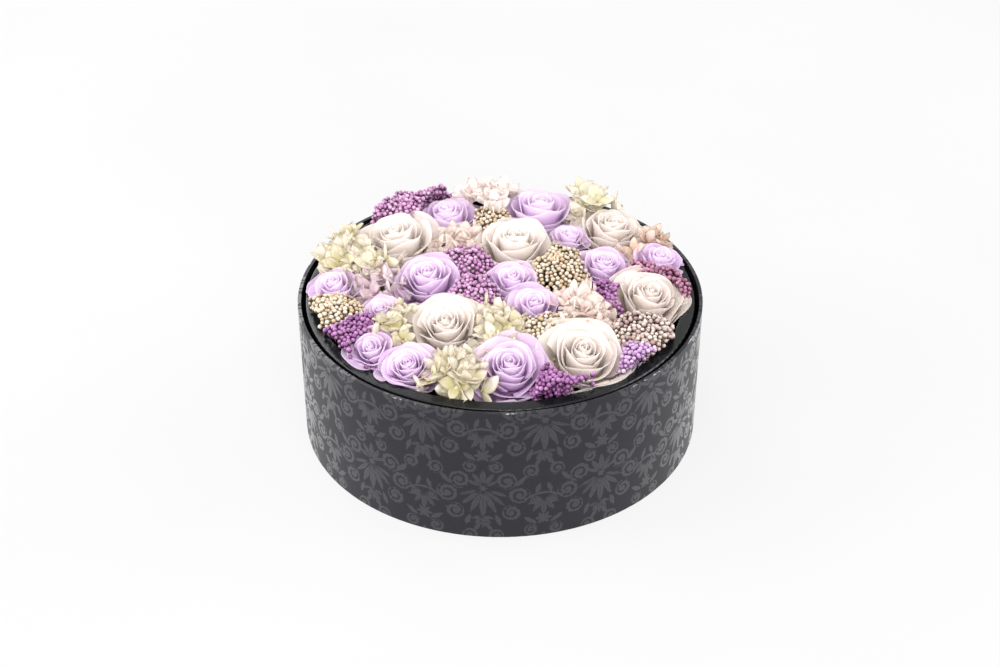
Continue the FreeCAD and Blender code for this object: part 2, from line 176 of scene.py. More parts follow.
# The damask is drawn in millimetres: units side by side round the drum, with more of them a half drop between
DAMASK_REPEATS = 11
DAMASK_DROP = 92
DAMASK_TURN = 0.64
DAMASK_LIFT = 0.17
SCROLL_LOBES = 9
LOBE_DEPTH = 0.28
EYE_SHARE = 0.22
RIB_WIDTH = 0.25
LEAF_SHORTENING = 0.09
HALF_UNIT = 1000 * math.pi * BOX_RADIUS / DAMASK_REPEATS


def length_of(x, y):
    return (x * x + y * y).math("SQRT")


def leaf_fan(x, y, foot, way, inner, reach, leaves, step, broad):
    """Leaves fanned out from a foot on the middle line, the middle one longest, pointing up or down."""
    rise = (y - foot) * way
    turn = x.math("ARCTAN2", rise)
    leaf = (turn / step).math("ROUND")
    off_leaf = abs(turn - leaf * step)
    away = length_of(x, rise)
    tip = reach - leaf * (LEAF_SHORTENING * reach)
    half = (away - inner) * (tip - away) * (4 * broad / (reach - inner) ** 2)
    off_rib = away * off_leaf
    blade = (half - off_rib).math("MINIMUM", (off_rib - RIB_WIDTH) * 3 + 0.3)
    return blade.math("MINIMUM", (leaves - 0.5 - leaf) * 9)


def scroll(x, y, across, up, reach, hand, start, pitch, thick):
    """A spiral scroll that thins towards its eye, with a round bud in the middle."""
    dx = (x - across) * hand
    dy = y - up
    away = length_of(dx, dy)
    turn = dy.math("ARCTAN2", dx) / (2 * math.pi)
    strand = abs((away / pitch - turn + start).math("FRACT") - 0.5) * pitch
    lobes = (turn * (2 * math.pi * SCROLL_LOBES)).math("COSINE") * LOBE_DEPTH + 1
    line = (away * (0.5 / reach) + 0.5) * lobes * thick - strand
    return line.math("MINIMUM", reach - away).math("MAXIMUM", EYE_SHARE * reach - away)


def leaflet(x, y, across, up, angle, long, broad):
    """One pointed leaf."""
    cosine = math.cos(math.radians(angle))
    sine = math.sin(math.radians(angle))
    dx = x - across
    dy = y - up
    along = dx * cosine + dy * sine
    aside = dy * cosine - dx * sine
    return (1 - along * along * (1 / long ** 2)) * broad - abs(aside)


def stem(x, y, height, sway, thick, start):
    """A thin stalk that sways from one unit to the next."""
    line = (x * (1.5 * math.pi / HALF_UNIT)).math("SINE") * (-sway) + height
    return (thick - abs(y - line)).math("MINIMUM", x - start)


def rosette(x, y, across, up, reach, petals):
    """A small flower seen from above, with rounded petals."""
    dx = x - across
    dy = y - up
    turn = dy.math("ARCTAN2", dx) * petals
    return (turn.math("COSINE") * 0.24 + 0.76) * reach - length_of(dx, dy)


def damask_unit(x, y):
    """How far inside the ink a point is, in millimetres, for one unit folded about its middle line."""
    shapes = [
        leaf_fan(x, y, 5, -1, 3.5, 20, 4, math.radians(23), 1.9),
        leaf_fan(x, y, 6.5, 1, 2, 12, 3, math.radians(32), 1.5),
        rosette(x, y, 0, 5.5, 2.3, 6),
        scroll(x, y, 13.2, 10.5, 5.8, -1, 0.30, 3.5, 1.0),
        scroll(x, y, 20.5, 0.5, 5.8, 1, 0.62, 3.5, 1.0),
        scroll(x, y, 16.0, -12.0, 5.2, -1, 0.85, 3.3, 0.95),
        scroll(x, y, 7.2, 20.5, 3.8, 1, 0.1, 2.7, 0.8),
        rosette(x, y, 0, 28.5, 4.6, 7),
        leaflet(x, y, 7.5, 27.5, 35, 4.2, 1.3),
        leaflet(x, y, 21.5, 10.5, 50, 4.5, 1.3),
        leaflet(x, y, 8.5, -17.5, -70, 4.0, 1.2),
        leaf_fan(x, y, -14.5, -1, 1.5, 8.5, 3, math.radians(36), 1.2),
        stem(x, y, -3.5, 4.5, 0.62, 23),
        scroll(x, y, 29.3, -4.2, 2.7, -1, 0.2, 2.0, 0.6),
        leaflet(x, y, 31.0, 4.5, 70, 3.6, 1.1),
        scroll(x, y, 27.0, 17.0, 4.4, 1, 0.4, 2.9, 0.8),
        leaflet(x, y, 31.0, 23.5, 60, 3.6, 1.1),
        leaf_fan(x, y, 43, -1, 1.5, 12, 3, math.radians(34), 1.5),
    ]
    ink = shapes[0]
    for shape in shapes[1:]:
        ink = ink.math("MAXIMUM", shape)
    return ink


def damask_cell(across, up, half_drop):
    """A point's place in its unit: millimetres out from the middle line and up from the middle."""
    x = abs((across + half_drop).math("FRACT") - 0.5) * (2 * HALF_UNIT)
    y = ((up + half_drop).math("FRACT") - 0.5) * DAMASK_DROP
    return x, y


paper = Finish("damask_paper")
right, back, height = paper.axes(paper.place())
turn = right.math("ARCTAN2", back * -1)
across = turn * (DAMASK_REPEATS / (2 * math.pi)) + DAMASK_TURN
up = height * (1000 / DAMASK_DROP) + DAMASK_LIFT
ink = damask_unit(*damask_cell(across, up, 0))
ink = ink.math("MAXIMUM", damask_unit(*damask_cell(across, up, 0.5)))
leafy_edge = paper.noise(paper.place(), 420.0, detail=1.0)
ink = paper.remap(ink + (leafy_edge - 0.5) * 1.4, -0.4, 0.0, 0, 1)
grain = paper.noise(paper.place(), 900.0, detail=4.0)
patches = paper.noise(paper.place(), 45.0)
bare = paper.ramp(grain, (0.3, tint(20, 18, 26)), (0.7, tint(27, 25, 33)))
printed = paper.ramp(grain, (0.3, tint(26, 24, 32)), (0.7, tint(33, 31, 39)))
colour = paper.mix(ink, bare, printed)
seam = paper.remap(abs(turn), math.pi - 0.006, math.pi - 0.003, 0, 0.35)
colour = paper.mix(seam, colour, tint(36, 35, 40))
# Pale flecks along the rim's outer edge: partly scuffed paper, partly a painted highlight where the edge
# catches the light.
from_rim = length_of(length_of(right, back) - BOX_RADIUS, height - RIM_HEIGHT)
rim_fleck_noise = paper.noise(paper.place(), 330.0, detail=6.0, roughness=0.7) + (patches - 0.5) * 0.9
rim_wear_and_highlight = paper.remap(from_rim, 0.0002, 0.0006, 1, 0) * paper.remap(rim_fleck_noise, 0.60, 0.70, 0, 0.9)
colour = paper.mix(rim_wear_and_highlight, colour, tint(205, 203, 204))
paper.wear(Base_Color=colour, Roughness=paper.remap(ink, 0, 1, 0.40, 0.22) + (patches - 0.5) * 0.1)
paper.wear(Coat_Weight=paper.remap(ink, 0, 1, 0, 0.75), Coat_Roughness=0.25)
paper.wear(Specular_IOR_Level=0.36)
paper.bump(grain, 0.1, 0.0002)
dress("damask_wrap", paper)

# Inside of the drum: black paper is glued to the wall and to the floor board, so no greyboard shows in the
# gap round the tray. A disc of the same paper under the foot hides the turned-in edge of the wrap.


def plain_finish(name, scale, dark, light, roughness, detail=3.0):
    """A material of nearly one colour with a fine mottle in it, and that mottle, for a bump."""
    finish = Finish(name)
    mottle = finish.noise(finish.place(), scale, detail)
    colour = finish.ramp(mottle, (0.3, tint(*dark)), (0.7, tint(*light)))
    finish.wear(Base_Color=colour, Roughness=roughness)
    return finish, mottle


black, _ = plain_finish("black_lining_paper", 700.0, (15, 15, 17), (26, 26, 29), 0.85)
for node in ("wall_lining", "floor_lining", "base_cover"):
    dress(node, black)

board, _ = plain_finish("greyboard", 500.0, (118, 110, 100), (150, 142, 130), 0.9, detail=5.0)
for node in ("box_wall", "box_base"):
    dress(node, board)

# Planting tray: a drum of dark grey board with a flat collar round its mouth. It stands loose in the box with
# a narrow gap all round, and is lifted out by the collar.

tray_board, tray_grain = plain_finish("dark_tray_board", 800.0, (12, 13, 15), (19, 20, 22), 0.22, detail=4.0)
tray_board.wear(Specular_IOR_Level=0.36)
tray_board.bump(tray_grain, 0.15, 0.0002)
for node in ("tray_wall", "tray_floor", "tray_collar"):
    dress(node, tray_board)

# Foam and stems: a disc of dry foam is pressed on plastic anchors, which pads of putty hold to the tray's
# floor. The green wire under each head is pushed into the foam.

# The foam is its own dark brown made darker still, as painted shade for the gaps between the heads.
foam, foam_cells = plain_finish("dry_foam_darkened_as_shade", 600.0, (24, 20, 14), (44, 38, 26), 0.95, detail=2.0)
foam.bump(foam_cells, 0.6, 0.001)
dress("foam_disc", foam)

stem_green, _ = plain_finish("green_stem", 300.0, (60, 72, 38), (92, 104, 58), 0.6)
for node in ("rose_wires", "filler_wires", "foam_anchors"):
    dress(node, stem_green)

putty, putty_tone = plain_finish("pad_putty", 250.0, (206, 203, 194), (226, 223, 214), 0.8, detail=4.0)
putty.bump(putty_tone, 0.3, 0.0005)
dress("anchor_pads", putty)

# Roses: preserved garden roses, each a rolled eye with rings of thin petals round it that open outwards.
# A head's own stem is cut off and a wire put in its place, so the heads can stand close together.

EYE_ROLL = math.radians(640)
PETAL_FOOT = (0.06, -0.85)
ROLL_START = 0.7
ROLL_LENGTH = 0.3
# How the petals change from the eye outwards, in head radii and degrees
PETAL_SHARES = (0.0, 0.15, 0.35, 0.55, 0.72, 0.86, 1.0)
RIM_HEIGHTS = (0.24, 0.30, 0.31, 0.26, 0.15, -0.02, -0.28)
RIM_FLARES = (-0.02, -0.03, 0.00, 0.06, 0.17, 0.30, 0.40)
HALF_WIDTHS = (115, 88, 76, 68, 64, 62, 60)
RIM_CURLS = (0.0, 0.01, 0.035, 0.06, 0.09, 0.12, 0.12)


def add_grid(columns, rows):
    """A flat grid to be bent into a petal, as an object, with its -1 to 1 places across and 0 to 1 along."""
    bpy.ops.object.select_all(action="DESELECT")
    bpy.ops.mesh.primitive_grid_add(x_subdivisions=columns, y_subdivisions=rows, size=2)
    petal = bpy.context.object
    flat = np.empty(len(petal.data.vertices) * 3)
    petal.data.vertices.foreach_get("co", flat)
    flat = flat.reshape(-1, 3)
    return petal, flat[:, 0], (flat[:, 1] + 1) / 2


def bent(petal, points):
    petal.data.vertices.foreach_set("co", np.asarray(points, dtype=float).ravel())
    petal.data.update()


def curve_at(corners, along):
    """Points of a cubic curve through its two ends, at shares along it."""
    weights = [(1 - along) ** 3, 3 * along * (1 - along) ** 2, 3 * along ** 2 * (1 - along), along ** 3]
    return sum(np.outer(weight, corner) for weight, corner in zip(weights, corners))


def rolled_eye(turn, chance):
    """The rolled strip in the heart of a rose, one and three quarter turns of it."""
    petal, across, along = add_grid(30, 6)
    round_share = (across + 1) / 2
    angle = turn + round_share * EYE_ROLL
    radius = (0.035 + 0.13 * round_share) * (1 - 0.22 * along ** 2)
    height = -0.5 + along * (0.78 + 0.05 * np.sin(angle * 1.5 + chance.uniform(0, 6)) - 0.03 * round_share)
    bent(petal, np.stack([radius * np.cos(angle), radius * np.sin(angle), height], axis=1))
    return petal


def rose_petal(turn, share, chance):
    """One petal, a share of the way from the eye to the outermost: a cup, its rim waved and rolled back."""
    petal, across, along = add_grid(10, 7)
    cup = 0.09 + 0.46 * share + 0.25 * share ** 2
    rim = np.interp(share, PETAL_SHARES, RIM_HEIGHTS) + chance.uniform(-0.03, 0.03)
    flare = np.interp(share, PETAL_SHARES, RIM_FLARES) + chance.uniform(-0.02, 0.02)
    half_width = math.radians(np.interp(share, PETAL_SHARES, HALF_WIDTHS)) * chance.uniform(0.93, 1.08)
    curl = np.interp(share, PETAL_SHARES, RIM_CURLS) * chance.uniform(0.6, 1.4)
    wide = half_width * np.minimum(1, along * 1.5) ** 0.6
    corner = 1 - (0.05 + 0.05 * share) * np.abs(across) ** 2
    point = 0.05 * share * chance.uniform(0.2, 1.2) * np.exp(-(across / 0.3) ** 2) * along ** 5
    profile = curve_at(
        [PETAL_FOOT, (cup * 1.1, -0.80), (cup * 1.08, rim - 0.38), (cup + flare, rim)],
        np.clip(along * corner + point, 0, 1.1),
    )
    radius, height = profile[:, 0], profile[:, 1]
    radius = radius * (1 + 0.05 * across * along)
    roll = np.maximum(0, along - ROLL_START) / ROLL_LENGTH
    radius = radius + curl * roll ** 1.6 * (0.5 + np.abs(across))
    height = height - 0.9 * curl * roll ** 3 * (0.4 + 1.1 * across ** 2)
    wave = chance.uniform(0, 2 * math.pi)
    ripple = (0.010 + 0.065 * share ** 2) * along ** 4
    radius = radius + ripple * np.sin(across * chance.uniform(3.5, 5.5) + wave)
    height = height + 1.1 * ripple * np.cos(across * chance.uniform(4.0, 6.5) + wave * 1.7)
    angle = turn + across * wide
    bent(petal, np.stack([radius * np.cos(angle), radius * np.sin(angle), height], axis=1))
    return petal


def joined(pieces, name):
    """Several objects made one, under a name."""
    bpy.ops.object.select_all(action="DESELECT")
    for piece in pieces:
        piece.select_set(True)
    bpy.context.view_layer.objects.active = pieces[0]
    bpy.ops.object.join()
    whole = bpy.context.object
    whole.name = name
    whole.data.name = name
    return whole


def apply_modifier(piece, kind, **settings):
    bpy.context.view_layer.objects.active = piece
    modifier = piece.modifiers.new(kind, kind)
    for key, value in settings.items():
        setattr(modifier, key, value)
    bpy.ops.object.modifier_apply(modifier=modifier.name)


LARGE_PETALS = 25
SMALL_PETALS = 16
PETAL_THICKNESS = 0.00035
PETAL_TURN = math.radians(137.5)
# Heads lean outwards, more so the further they are from the middle, with a lean to the front added to each
CROWN_RADIUS = 0.110
CROWN_LEAN = math.radians(14)
FRONT_LEAN = math.radians(11)
CROWN_DROP = 0.001
HEAD_FULLNESS = 1.13
COLLAR_TOP = 0.0875
MOUTH_RADIUS = 0.1065
# A petal that reaches over the collar bends up, lies on it pressed nearly flat, and stops short of the rim
PETAL_BEND = 0.003
PETAL_REST = COLLAR_TOP + 0.0016
PETAL_PRESS = 0.05
PETAL_REACH = 0.1155
# Roses that stand a little beside their CAD solids, as in the photograph: millimetres across, back and up
HEAD_NUDGES = {"cream_rose_1": (-1.5, 2, 1.5), "cream_rose_4": (1, -2.5, -1), "cream_rose_6": (-2, -2, 0),
               "lilac_rose_2": (-2.5, 1, 1), "lilac_rose_6": (-2, 2, 0), "lilac_rose_7": (2.5, 1, 0),
               "lilac_rose_9": (-1, 2.5, 1), "lilac_rose_10": (1, 2.5, 1), "lilac_rose_12": (-2.5, 0, 0),
               "lilac_rose_13": (2, 2, 1)}
rose_balls = []


def head_placement(node):
    """Where a rose's centre is, how it leans and its radius, from its CAD solid."""
    low, high = (Vector(corner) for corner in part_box(node))
    radius = HEAD_FULLNESS / 2 * max(high.x - low.x, high.y - low.y)
    centre = (low + high) / 2
    centre.z = low.z + radius - CROWN_DROP
    centre += Vector(HEAD_NUDGES.get(node, (0, 0, 0))) / 1000
    lean = Vector((centre.x, centre.y, 0)) * (CROWN_LEAN / CROWN_RADIUS) + Vector((0, -FRONT_LEAN, 0))
    axis = Vector((-lean.y, lean.x, 0)).normalized()
    return Matrix.Translation(centre) @ Matrix.Rotation(lean.length, 4, axis), radius


def rest_on_collar(rose):
    """Outer petals that would hang into the collar lie on it instead."""
    points = np.empty(len(rose.data.vertices) * 3)
    rose.data.vertices.foreach_get("co", points)
    points = points.reshape(-1, 3)
    reach = np.hypot(points[:, 0], points[:, 1])
    over = np.clip((reach - MOUTH_RADIUS) / PETAL_BEND + 1, 0, 1)
    points[:, 2] += over * (1 - PETAL_PRESS) * np.maximum(0, PETAL_REST - points[:, 2])
    points[:, :2] *= np.minimum(1, PETAL_REACH / np.maximum(reach, 0.001))[:, None]
    bent(rose, points)


def make_rose(node, petal_count, finish, seed):
    chance = random.Random(seed)
    place, radius = head_placement(node)
    turn = chance.uniform(0, 6)
    petals = [rolled_eye(turn, chance)]
    for i in range(petal_count):
        turn += PETAL_TURN + chance.uniform(-0.12, 0.12)
        petals.append(rose_petal(turn, (i / (petal_count - 1)) ** 0.8, chance))
    rose = joined(petals, f"{node}_bloom")
    rose.data.transform(place @ Matrix.Scale(radius, 4))
    rest_on_collar(rose)
    apply_modifier(rose, "SOLIDIFY", thickness=PETAL_THICKNESS, offset=0)
    apply_modifier(rose, "SUBSURF", levels=1, render_levels=1)
    bpy.ops.object.shade_smooth()
    rose.data.materials.clear()
    rose.data.materials.append(finish.material)
    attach(rose, "tray")
    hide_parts(node)
    rose_balls.append((place.translation.copy(), radius))


def petal_finish(name, foot_tint_and_shade, middle, rim):
    """A soft matte petal that changes colour from its base to its rim, with faint veins running up it; the
    richer colour at its foot is partly its own tint and partly painted shade deep in the flower.
    """
    finish = Finish(name)
    _, along, _ = finish.axes(finish.place("UV"))
    veins = finish.noise(finish.stretch(finish.place("UV"), (38.0, 2.0, 1.0)), 1.0, detail=2.0)
    mottle = finish.noise(finish.place(), 160.0)
    shade = along + (veins - 0.5) * 0.22 + (mottle - 0.5) * 0.2
    colour = finish.ramp(shade, (0.15, tint(*foot_tint_and_shade)), (0.62, tint(*middle)), (0.98, tint(*rim)))
    finish.wear(Base_Color=colour, Roughness=0.7, Specular_IOR_Level=0.25)
    finish.bump(veins, 0.12, 0.0004)
    finish.let_light_through((0.98, 0.965, 0.975, 1), 0.66)
    return finish


# The first colour of each is the petal's foot: its own richer tint, with painted shade of the flower's depths
# in it.
cream_petal = petal_finish("cream_petal", (249, 234, 216), (247, 237, 225), (243, 233, 222))
beige_petal = petal_finish("beige_petal", (240, 218, 197), (241, 227, 213), (239, 227, 215))
lilac_petal = petal_finish("lilac_petal", (231, 180, 241), (235, 197, 242), (237, 210, 242))
small_lilac = {f"lilac_rose_{number}" for number in range(7, 14)}
beige_roses = {"cream_rose_3", "cream_rose_4"}
rose_nodes = sorted(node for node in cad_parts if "_rose_" in node)
for seed, node in enumerate(rose_nodes, start=1):
    finish = lilac_petal
    if node.startswith("cream"):
        finish = beige_petal if node in beige_roses else cream_petal
    make_rose(node, SMALL_PETALS if node in small_lilac else LARGE_PETALS, finish, seed)

# Rice flower: dried heads of small round buds on short stalks, plum purple or cream, packed into low domes.
# Each bud is pale on its crown and painted brown or dark purple below as painted shade, so the gaps between
# the buds look dark.

DOME_FOOT = COLLAR_TOP - 0.004
DOME_FLANK = 0.6
CROWDING = 1.15
SPOT_TURN = math.radians(137.508)
# How far fillers may reach out over the collar, how much less at the front, and how high over it they lie
COLLAR_COVER = 0.115
FRONT_MARGIN = 0.006
COLLAR_CLEARANCE = 0.001
# A head's own dome, as a sprig: not shifted from the head's middle, and of the head's full width
WHOLE_HEAD = ((0, 0), 1.0)
RICE_SEED = 100


def bud():
    """One bud on its stalk, two units across."""
    bpy.ops.object.select_all(action="DESELECT")
    bpy.ops.mesh.primitive_cone_add(vertices=3, radius1=0.12, radius2=0.22, depth=3.0, location=(0, 0, -2.2))
    stalk = bpy.context.object
    bpy.ops.mesh.primitive_uv_sphere_add(segments=8, ring_count=5, radius=1)
    crown = bpy.context.object
    crown.data.transform(Matrix.Diagonal((1, 1, 1.12, 1)))
    whole = joined([crown, stalk], "bud")
    bpy.ops.object.transform_apply(location=True, rotation=True, scale=True)
    return whole


def copied(shape, places, tones, name):
    """Copies of a modelled shape as one object, with each copy's tone on its points for the finish."""
    mesh = shape.data
    count = len(mesh.vertices)
    points = np.empty(count * 3)
    mesh.vertices.foreach_get("co", points)
    points = np.column_stack([points.reshape(-1, 3), np.ones(count)])
    placed = [points @ np.array(place).T for place in places]
    faces = [tuple(polygon.vertices) for polygon in mesh.polygons]
    all_faces = [tuple(v + i * count for v in face) for i in range(len(places)) for face in faces]
    copies = bpy.data.meshes.new(name)
    copies.from_pydata(np.concatenate(placed)[:, :3], [], all_faces)
    uv = np.empty(len(mesh.loops) * 2)
    mesh.uv_layers[0].data.foreach_get("uv", uv)
    copies.uv_layers.new(name="UVMap").data.foreach_set("uv", np.tile(uv, len(places)))
    tone = copies.attributes.new("tone", "FLOAT", "POINT")
    tone.data.foreach_set("value", np.repeat(np.asarray(tones, dtype=float), count))
    copies.polygons.foreach_set("use_smooth", np.ones(len(all_faces), dtype=bool))
    made = bpy.data.objects.new(name, copies)
    bpy.context.collection.objects.link(made)
    return made


def dome_spots(node, spacing, chance, grow, sink, lumps, spread, shift, share):
    """Places spread over the low dome of a filler head, each standing on the dome and facing out of it.

    A sprig beside the head is a smaller dome, shifted across and back from the head's middle.
    """
    low, high = (Vector(corner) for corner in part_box(node))
    middle = (low + high) / 2 + Vector((*shift, 0))
    wide = [share * ((high.x - low.x) / 2 + grow), share * ((high.y - low.y) / 2 + grow)]
    tall = high.z - sink - DOME_FOOT
    mean = (wide[0] + wide[1]) / 2
    count = int(math.pi * (mean ** 2 + 2 * mean * DOME_FLANK * tall) / spacing ** 2 * CROWDING)
    turns = [chance.uniform(0, 6) for _ in range(3)]
    spots = []
    for i in range(count):
        rise = 1 - (i + 0.5) / count
        flat = math.sqrt(max(0, 1 - rise * rise))
        turn = i * SPOT_TURN + chance.uniform(-0.05, 0.05)
        square = (flat ** 3 + rise ** 3) ** (-1 / 3)
        swell = square * (1 + lumps * math.sin(3 * turn + turns[0]) * math.sin(5 * rise + turns[1]))
        swell += 0.7 * lumps * math.sin(7 * turn + turns[2] + 4 * rise) + chance.uniform(-0.03, 0.03)
        out = Vector((flat * math.cos(turn), flat * math.sin(turn), rise)) * swell
        spot = Vector((middle.x + out.x * wide[0], middle.y + out.y * wide[1], DOME_FOOT + out.z * tall))
        facing = Vector((out.x / wide[0], out.y / wide[1], out.z / tall)).normalized()
        if inside_collar(spot, spread):
            spots.append((spot, facing))
    return spots


def inside_collar(spot, spread):
    """Whether a bud or floret of this spread is inside the mouth of the collar, or lies clear over it."""
    reach = math.hypot(spot.x, spot.y)
    front = (1 - spot.y / reach) / 2
    over = spot.z > COLLAR_TOP + COLLAR_CLEARANCE + 0.5 * spread
    edge = COLLAR_COVER - 0.5 * spread - front ** 2 * (FRONT_MARGIN + spread)
    return reach < MOUTH_RADIUS - front * spread or (over and reach < edge)


def in_a_rose(spot, share):
    """Whether a spot is within this share of some rose's radius from its centre."""
    return any((spot - centre).length < share * radius for centre, radius in rose_balls)


def standing(spot, facing, size, chance, tilt):
    """A shape set on a spot, its top facing outwards with a chance tilt and turn."""
    facing = facing + Vector([chance.gauss(0, tilt) for _ in range(3)])
    turn = facing.to_track_quat("Z", "Y").to_matrix().to_4x4()
    spin = Matrix.Rotation(chance.uniform(0, 2 * math.pi), 4, "Z")
    return Matrix.Translation(spot) @ turn @ spin @ Matrix.Scale(size, 4)


# Buds stand close together on a dome a little wider and lower than the CAD head, and not deep inside a rose
BUD_RADIUS = 0.00138
BUD_SPACING = 0.0028
BUD_GROWTH = 0.002
BUD_SINK = 0.0025
BUD_LUMPS = 0.07
BUD_SPREAD = 0.001
BUD_TILT = 0.15
BUD_ROSE_SHARE = 0.85
rice_bud = bud()


def make_rice_flower(node, finish, seed, sprigs):
    chance = random.Random(RICE_SEED + seed)
    spots = []
    for shift, share in [WHOLE_HEAD] + sprigs:
        spots += dome_spots(
            node, BUD_SPACING, chance, BUD_GROWTH, BUD_SINK, BUD_LUMPS, BUD_SPREAD, shift, share
        )
    spots = [spot for spot in spots if not in_a_rose(spot[0], BUD_ROSE_SHARE)]
    places = [standing(*spot, BUD_RADIUS * chance.uniform(0.8, 1.2), chance, BUD_TILT) for spot in spots]
    head = copied(rice_bud, places, [chance.random() for _ in places], f"{node}_buds")
    head.data.materials.append(finish.material)
    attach(head, "tray")
    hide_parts(node)


def bud_finish(name, dark, pale, rich):
    """Buds that differ in tone, lighter on the crown and dark below, the dark being painted shade for the
    gaps between buds.
    """
    finish = Finish(name)
    _, along, _ = finish.axes(finish.place("UV"))
    tone = finish.node("ShaderNodeAttribute", {"attribute_name": "tone"}, output=2)
    crown = finish.mix(tone, tint(*pale), tint(*rich))
    mottle = finish.noise(finish.place(), 1200.0)
    shade = along + (mottle - 0.5) * 0.3
    # The lower part of each bud takes the dark colour: painted shade between the buds.
    colour = finish.mix(finish.remap(shade, 0.35, 0.8, 0, 1), tint(*dark), crown)
    finish.wear(Base_Color=colour, Roughness=0.45)
    return finish


# The first colour of each finish is the painted shade under the buds.
plum_buds = bud_finish("plum_rice_flower", (48, 18, 44), (214, 170, 206), (166, 104, 154))
dark_and_shaded_buds = bud_finish("dark_plum_and_shaded_rice_flower", (34, 10, 34), (186, 126, 184), (128, 66, 122))
pink_buds = bud_finish("rose_rice_flower", (46, 12, 30), (196, 138, 166), (142, 78, 110))
lilac_buds = bud_finish("lilac_rice_flower", (62, 30, 66), (222, 188, 226), (178, 126, 186))
cream_buds = bud_finish("cream_rice_flower", (44, 26, 20), (230, 216, 194), (190, 162, 128))
mixed_buds = bud_finish("cream_plum_rice_flower", (42, 22, 34), (230, 216, 200), (164, 134, 132))
# Head 11 sits deep between two roses, and its darker finish is painted shade there; on heads 6 and 13 it is
# their own darker tone.
RICE_FINISHES = {1: plum_buds, 2: cream_buds, 3: plum_buds, 4: plum_buds, 5: cream_buds, 6: dark_and_shaded_buds,
                 7: pink_buds, 8: cream_buds, 9: mixed_buds, 10: lilac_buds, 11: dark_and_shaded_buds, 12: cream_buds,
                 13: dark_and_shaded_buds}
# Sprigs beside a head: metres across and back from the head's middle, and a share of the head's width
RICE_SPRIGS = {1: [((-0.011, -0.006), 0.6), ((-0.018, -0.011), 0.3), ((0.016, 0.008), 0.7)],
               5: [((0.002, 0.014), 0.6)],
               7: [((0.012, -0.013), 0.6), ((-0.006, 0.008), 0.7)],
               9: [((0.004, -0.008), 0.8)],
               10: [((-0.002, -0.010), 0.8)],
               11: [((0.012, 0.0), 0.8), ((-0.004, 0.008), 0.7)],
               12: [((-0.007, 0.002), 0.8), ((-0.004, 0.009), 0.6)],
               13: [((0.006, 0.013), 0.6), ((0.003, -0.016), 0.8)]}
for seed, finish in RICE_FINISHES.items():
    make_rice_flower(f"rice_flower_{seed}", finish, seed, RICE_SPRIGS.get(seed, []))
bpy.data.objects.remove(rice_bud)

# Hydrangea: dried florets of four papery sepals, pale green or dusky pink, with fine veins and browner edges.
# A head is pulled into sprigs and wired, and the florets crowd up between the roses at all angles.

SEPAL_THICKNESS = 0.03


def sepal(length, width, arch, chance):
    """One sepal lying out along +Y: oval with a pointed tip, cupped, and arched along its middle."""
    petal, across, along = add_grid(4, 6)
    half = 0.5 * width * 2.6 * np.clip(along, 0.01, 1) ** 0.6 * np.clip(1 - along, 0.004, 1) ** 0.8
    side = across * half
    ripple = 0.03 * np.sin(across * 3 + along * 5 + chance.uniform(0, 6))
    lift = 0.22 * width * across ** 2 * along * (1 - 0.4 * along) + arch * along ** 2 + ripple * along
    bent(petal, np.stack([side, along * length, lift], axis=1))
    return petal


def floret(chance):
    """Four sepals round a middle point, about one unit in radius."""
    pieces = []
    for i in range(4):
        length = chance.uniform(0.95, 1.2)
        width = chance.uniform(0.62, 0.88)
        arch = chance.uniform(-0.25, 0.2)
        leaf = sepal(length, width, arch, chance)
        raise_by = Matrix.Rotation(chance.uniform(0.1, 0.7), 4, "X")
        turn = Matrix.Rotation(math.pi / 2 * i + chance.uniform(-0.2, 0.2), 4, "Z")
        leaf.data.transform(turn @ raise_by @ Matrix.Translation((0, 0.04, 0.02 * (i % 2))))
        pieces.append(leaf)
    whole = joined(pieces, "floret")
    apply_modifier(whole, "SOLIDIFY", thickness=SEPAL_THICKNESS, offset=0)
    return whole


# Florets stand further apart than buds, on a lumpier dome, and only outside the roses
HYDRANGEA_SEED = 200
FLORET_SHAPES = 5
FLORET_SPACING = 0.0062
FLORET_GROWTH = 0.0
FLORET_LUMPS = 0.1
FLORET_SPREAD = 0.005
FLORET_TILT = 0.4
FLORET_ROSE_SHARE = 1.02
floret_shapes = [floret(random.Random(seed)) for seed in range(FLORET_SHAPES)]


def make_hydrangea(node, finish, seed, sink, size, sprigs):
    chance = random.Random(HYDRANGEA_SEED + seed)
    spots = []
    for shift, share in [WHOLE_HEAD] + sprigs:
        spots += dome_spots(
            node, FLORET_SPACING, chance, FLORET_GROWTH, sink, FLORET_LUMPS, FLORET_SPREAD, shift, share
        )
    spots = [spot for spot in spots if not in_a_rose(spot[0], FLORET_ROSE_SHARE)]
    heads = []
    for index, shape in enumerate(floret_shapes):
        own = spots[index::FLORET_SHAPES]
        places = [standing(*spot, size * chance.uniform(0.8, 1.2), chance, FLORET_TILT) for spot in own]
        if places:
            heads.append(copied(shape, places, [chance.random() for _ in places], f"{node}_sprig"))
    head = joined(heads, f"{node}_florets")
    head.data.materials.append(finish.material)
    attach(head, "tray")
    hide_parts(node)


